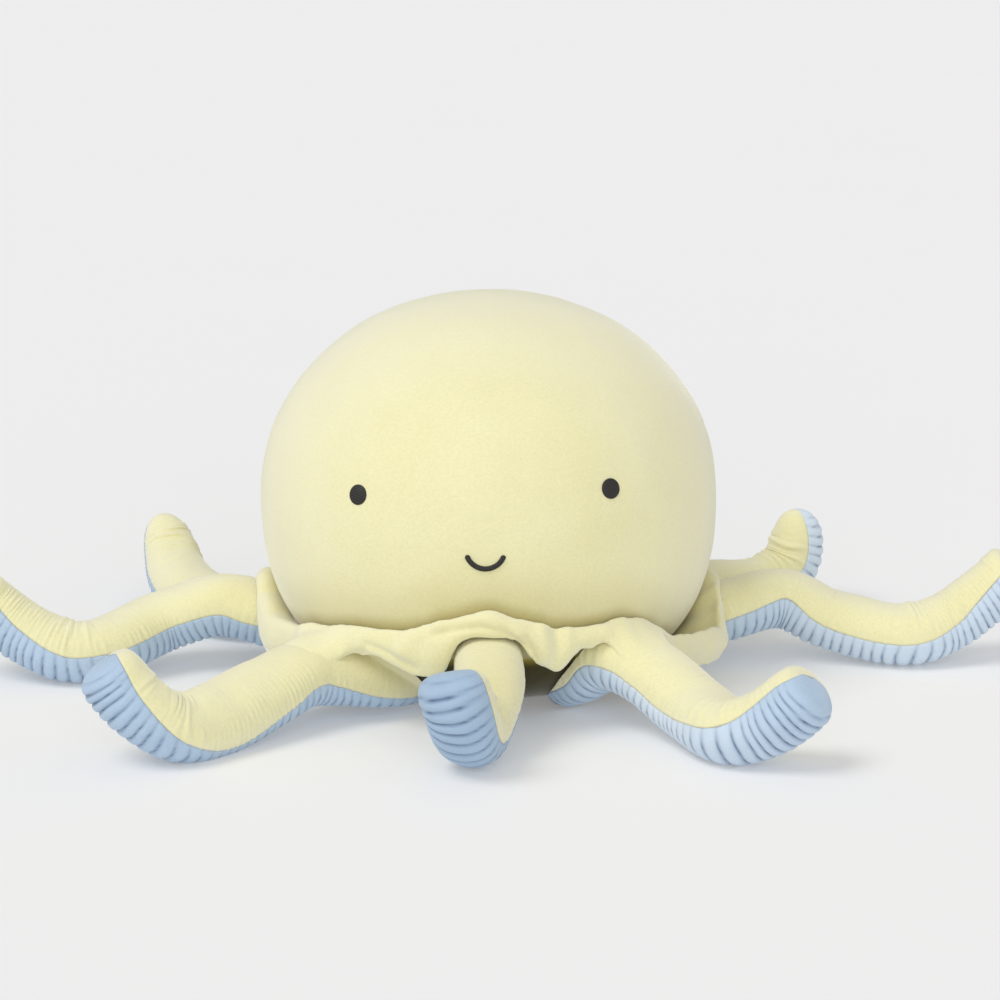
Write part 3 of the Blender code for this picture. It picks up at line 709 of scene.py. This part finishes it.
# drawn in the picture: where the folds lie, their width and how far they push, in mm
skirtStrokes = [
    ([(603, 643), (612, 650), (622, 661)], 3.5, -2.6),  # the skirt runs out on the right-front arm
    ([(586, 648), (574, 660), (561, 677)], 2.6, -2.5),  # and a crease beside it
    ([(526, 640), (532, 652), (534, 664)], 2.4, -3.0),  # where the roll's right end tucks under
    ([(542, 630), (546, 646), (547, 660)], 3.6, 1.6),
    ([(556, 630), (557, 645), (554, 662)], 3.0, -1.2),
    ([(568, 628), (570, 645), (565, 660)], 4.0, 1.2),
    ([(338, 664), (350, 660), (363, 654)], 3.5, -2.6),  # the same two on the left-front arm
    ([(366, 645), (388, 654), (414, 668)], 2.6, -2.0),
    ([(400, 652), (412, 637), (430, 623), (455, 616)], 4.5, 1.8),  # the roll's left end
    ([(434, 635), (456, 630), (480, 628), (502, 632), (516, 641), (526, 651)], 2.2, -2.4),  # its two turns
    ([(436, 626), (460, 619), (490, 617), (516, 626), (530, 638)], 3.0, 1.0),
]


# the shade painted where folds meet and under the skirt: strength and reach in metres
paintedShadeShape = {"broad": (0.11, 0.040), "close": (0.14, 0.009), "under": (0.95, 0.049, 0.013), "lobe": 0.016,
               "skirt": (0.16, 0.24), "skirtReach": (0.004, 0.006)}


def paintShade(head, skirt):  # the painted shade that the yellow plush reads
    s = paintedShadeShape
    (broad, far), (close, near), (under, top, reach) = s["broad"], s["close"], s["under"]
    (plain, extra), (narrow, wider) = s["skirt"], s["skirtReach"]
    layer = head.data.attributes.new("paintedShade", "FLOAT", "POINT")
    for vert in head.data.vertices:
        x, y, z = vert.co
        _, _, crest, dip = edgeAt(math.degrees(math.atan2(y, x)))
        seam = crest - 0.7 * dip
        # painted shade on the head just above the skirt's seam
        value = broad * ease(1 - (z - seam) / far) + close * ease(1 - (z - seam) / near)
        # and a dark painted shadow on the head's underside below the seam
        layer.data[vert.index].value = max(value, under * ease((top - z) / reach) * (z < seam))
    # painted shade on the skirt along the head, deeper in the right lobe's hollow
    layer = skirt.data.attributes.new("paintedShade", "FLOAT", "POINT")
    for vert in skirt.data.vertices:
        x, y, z = vert.co
        gap = math.hypot(x, y) - headRadius(z)
        bowl = edgeAt(math.degrees(math.atan2(y, x)))[3] / s["lobe"]  # only the right lobe stands off the head
        layer.data[vert.index].value = (plain + extra * bowl) * ease(1 - gap / (narrow + wider * bowl))


skirt = makeSkirt(tops)
paintShade(head, skirt)
print("skirt draped")


# Face: two padded satin-stitch dots and a stitched smile

faceShape = {"eye": 0.012, "proud": 0.0012, "smileRadius": 0.0112, "smileHalf": 74, "stitch": 0.003,
             "eyeRings": 60, "eyeSegments": 96, "smileRings": 240, "smileSegments": 20}


def blackThread():  # dense satin stitch, glossy along the threads
    material, tree, shader, coords = startMaterial("blackThread")
    threads = addNode(tree, "TexWave", {"Vector": coords, "Scale": 330.0, "Distortion": 0.6, "Detail": 1.0,
                                        "Detail Scale": 2.0}, wave_type="BANDS", bands_direction="DIAGONAL")
    height = threads.outputs["Fac"]
    dress(tree, shader, blend(tree, height, "14110F", "2B2623"), height, 0.0002, 0.7, {"Roughness": 0.5})
    return material


black = blackThread()


def makeEye(node, bearing, height):
    f = faceShape
    step = 0.001
    lean = math.atan2(headRadius(height - step) - headRadius(height + step), 2 * step)
    out = polar(math.cos(lean), bearing, math.sin(lean))
    turn = out.to_track_quat("Z", "Y").to_matrix()
    middle = polar(headRadius(height), bearing, height)

    def place(ring, segment):
        angle = math.pi * ring / f["eyeRings"]
        around = math.tau * segment / f["eyeSegments"]
        edge = 1 + 0.012 * math.sin(around * 40)
        flat = Vector((math.sin(angle) * math.cos(around) * edge * f["eye"] / 2,
                       math.sin(angle) * math.sin(around) * edge * f["eye"] / 2,
                       math.copysign(abs(math.cos(angle)) ** 0.7, math.cos(angle)) * f["proud"]))
        sag = (flat.x ** 2 + flat.y ** 2) / (2 * headShape["radius"])
        return middle + turn @ (flat - Vector((0, 0, sag)))

    name = {"eye_left": "eyeLeft", "eye_right": "eyeRight"}[node]
    settle(sphereToGrid(name, f["eyeSegments"], f["eyeRings"], place), [node], black)


for node, (bearing, height) in eyeSpots.items():
    makeEye(node, bearing, height)


def makeSmile():
    f = faceShape
    rings, around = f["smileRings"], f["smileSegments"]

    def arc(t):
        angle = math.radians(f["smileHalf"]) * (2 * t - 1)
        x = mouthSpot[0] + f["smileRadius"] * math.sin(angle)
        z = mouthSpot[1] - f["smileRadius"] * math.cos(angle)
        return Vector((x, -math.sqrt(headRadius(z) ** 2 - x * x), z))

    def place(ring, segment):
        t = ring / rings
        middle = arc(t)
        along = (arc(min(t + 0.01, 1)) - arc(max(t - 0.01, 0))).normalized()
        across = along.cross(Vector((0, -1, 0))).normalized()
        out = across.cross(along)
        end = min(t, 1 - t) * 0.029 / (f["stitch"] / 2)
        size = math.sqrt(max(1 - (1 - min(end, 1)) ** 2, 0)) * f["stitch"] / 2
        size *= 1 + 0.05 * abs(math.sin(math.pi * t * 56))
        turn = math.tau * segment / around
        return middle + (across * math.cos(turn) + out * math.sin(turn) * 0.7) * size

    settle(sphereToGrid("smileStitch", around, rings, place), ["smile"], black)


makeSmile()
print("face embroidered")


# What closes and fills the head: base panel, bead pouch, loose filling

def polyesterFibre():  # cloudy white hollow-fibre filling
    material, tree, shader, coords = startMaterial("polyesterFibre")
    clumps = addNode(tree, "TexNoise", {"Vector": coords, "Scale": 90.0, "Detail": 5.0, "Roughness": 0.7})
    height = clumps.outputs["Fac"]
    dress(tree, shader, blend(tree, height, "D9D9D4", "F7F7F3"), height, 0.003, 0.8, {"Roughness": 1.0})
    return material


def pouchCloth():  # plain woven cotton over small round beads
    material, tree, shader, coords = startMaterial("pouchCloth")
    beads = addNode(tree, "TexVoronoi", {"Vector": coords, "Scale": 300.0})
    height = beads.outputs["Distance"]
    dress(tree, shader, blend(tree, height, "E6E4DC", "C9C6BB"), height, 0.001, 0.6, {"Roughness": 0.9},
          invert=True)
    return material


def softCopy(node, name, material, unevenness):  # the CAD form, made smooth and slightly lumpy
    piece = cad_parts[node].copy()
    piece.data = piece.data.copy()
    piece.parent = None
    piece.name = piece.data.name = name
    scene.collection.objects.link(piece)
    bpy.ops.object.select_all(action="DESELECT")
    piece.select_set(True)
    bpy.context.view_layer.objects.active = piece
    bpy.ops.object.mode_set(mode="EDIT")
    bpy.ops.mesh.select_all(action="SELECT")
    bpy.ops.mesh.remove_doubles(threshold=0.00001)
    bpy.ops.object.mode_set(mode="OBJECT")
    for vert in piece.data.vertices:
        vert.co += vert.normal * unevenness * (wave(vert.co.x * 40, vert.co.y * 40, vert.co.z * 40) - 0.6)
    bpy.ops.object.shade_smooth()
    settle(piece, [node], material)


softCopy("head_fill", "headFilling", polyesterFibre(), 0.0006)
softCopy("weight_pouch", "beadPouch", pouchCloth(), 0.0006)


panelShape = {"radius": 0.0475, "thick": 0.003, "roundness": 0.35, "rings": 60, "segments": 96}


def makeBasePanel():
    p = panelShape
    rings, segments = p["rings"], p["segments"]

    def place(ring, segment):
        angle = math.pi * ring / rings
        r = p["radius"] * abs(math.sin(angle)) ** p["roundness"]
        side = math.copysign(abs(math.cos(angle)) ** p["roundness"], math.cos(angle))
        return polar(r if 0 < ring < rings else 0.0, 360 * segment / segments, (1 + side) * p["thick"] / 2)

    settle(sphereToGrid("basePanel", segments, rings, place), ["base_panel"], blue)


makeBasePanel()
print("head closed")


# Studio: pale seamless floor, wide soft light from the upper left, weak fill from the front and the right
studioShape = {"floor": 14, "tints": ("DADADA", "DBDBDB"), "glow": ("ECECEC", 0.243), "air": 0.50}

# lamps, each very large and far away: strength, spread in degrees and the way towards it
studioLamps = {"softBox": (1.18, 30, (-0.64, -0.36, 1.10)), "frontFill": (0.84, 58, (0.04, -1.0, 0.33)),
               "sideFill": (0.13, 40, (1.0, -0.35, 0.45))}


def makeStudio():
    s = studioShape
    bpy.ops.object.select_all(action="DESELECT")
    bpy.ops.mesh.primitive_circle_add(vertices=96, radius=s["floor"], fill_type="NGON")
    floor = bpy.context.object
    floor.name = floor.data.name = "studioFloor"
    material, tree, shader, coords = startMaterial("studioPaper")
    grain = addNode(tree, "TexNoise", {"Vector": coords, "Scale": 3.0, "Detail": 2.0})
    tree.links.new(blend(tree, grain.outputs["Fac"], *s["tints"]), shader.inputs["Base Color"])
    glow, strength = s["glow"]  # lifts the shadows a little
    for name, value in {"Roughness": 1.0, "Specular IOR Level": 0.0, "Emission Color": linearColour(glow),
                        "Emission Strength": strength}.items():
        shader.inputs[name].default_value = value
    floor.data.materials.append(material)
    world = bpy.data.worlds.new("studioAir")
    scene.world = world
    world.use_nodes = True
    back = world.node_tree.nodes["Background"]
    back.inputs["Color"].default_value = (1, 1, 1, 1)
    back.inputs["Strength"].default_value = s["air"]
    for name, (energy, spread, way) in studioLamps.items():
        lamp = bpy.data.lights.new(name, "SUN")
        lamp.energy = energy
        lamp.angle = math.radians(spread)
        sun = bpy.data.objects.new(name, lamp)
        sun.rotation_euler = Vector(way).to_track_quat("Z", "Y").to_euler()
        scene.collection.objects.link(sun)
    scene.view_settings.view_transform = "Standard"


makeStudio()
